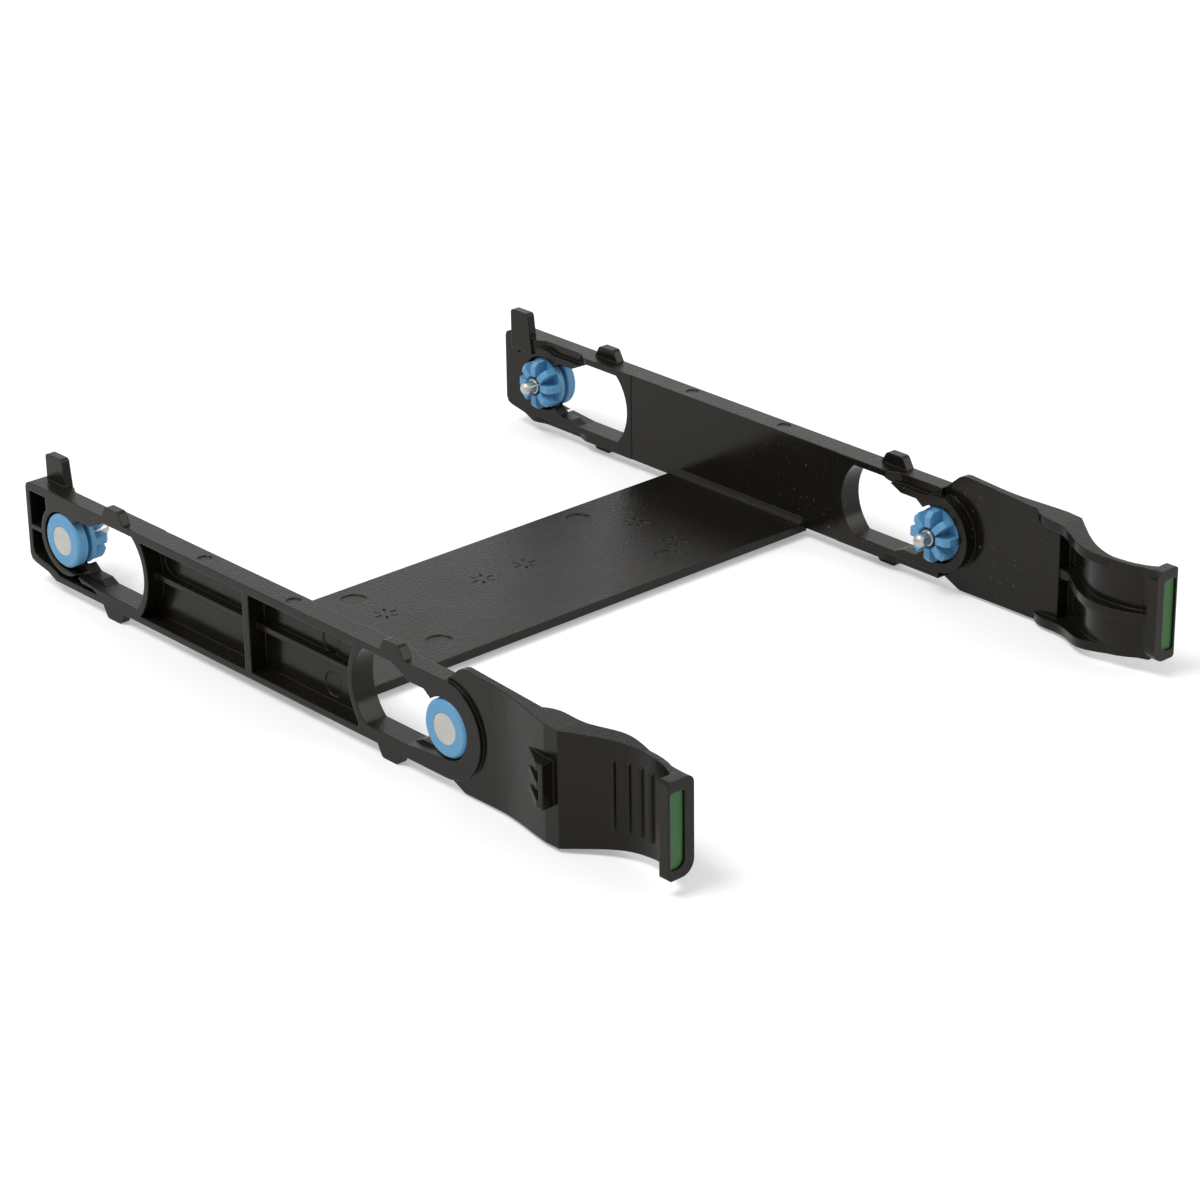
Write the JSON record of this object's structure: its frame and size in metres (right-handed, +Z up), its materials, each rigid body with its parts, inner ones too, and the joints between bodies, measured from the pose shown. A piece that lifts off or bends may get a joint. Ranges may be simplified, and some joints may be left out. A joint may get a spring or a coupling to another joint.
{
  "type": "hard drive caddy",
  "caption": "Tool-less caddy for a 3.5-inch hard drive: black H-shaped moulding with side rails, spring levers, rubber isolators and steel drive pins.",
  "frame": {"origin": "centre of the overall outline, on the surface the caddy stands on", "axes": "+Y along the rails from the lever end to the rear, +Z up, +X across to the right-hand rail"},
  "size_m": [0.1208, 0.1614, 0.0235],
  "materials": {
    "black_plastic": "semi-gloss black moulding",
    "blue_rubber": "satin blue rubber",
    "steel": "satin steel",
    "green_plastic": "satin green"
  },
  "bodies": {
    "root": {"caddy_frame": "black_plastic", "isolator_rear_left": "blue_rubber", "drive_pin_rear_left": "steel", "isolator_front_left": "blue_rubber", "drive_pin_front_left": "steel", "lever_insert_left": "green_plastic", "isolator_rear_right": "blue_rubber", "drive_pin_rear_right": "steel", "isolator_front_right": "blue_rubber", "drive_pin_front_right": "steel", "lever_insert_right": "green_plastic"}
  },
  "joints": []
}
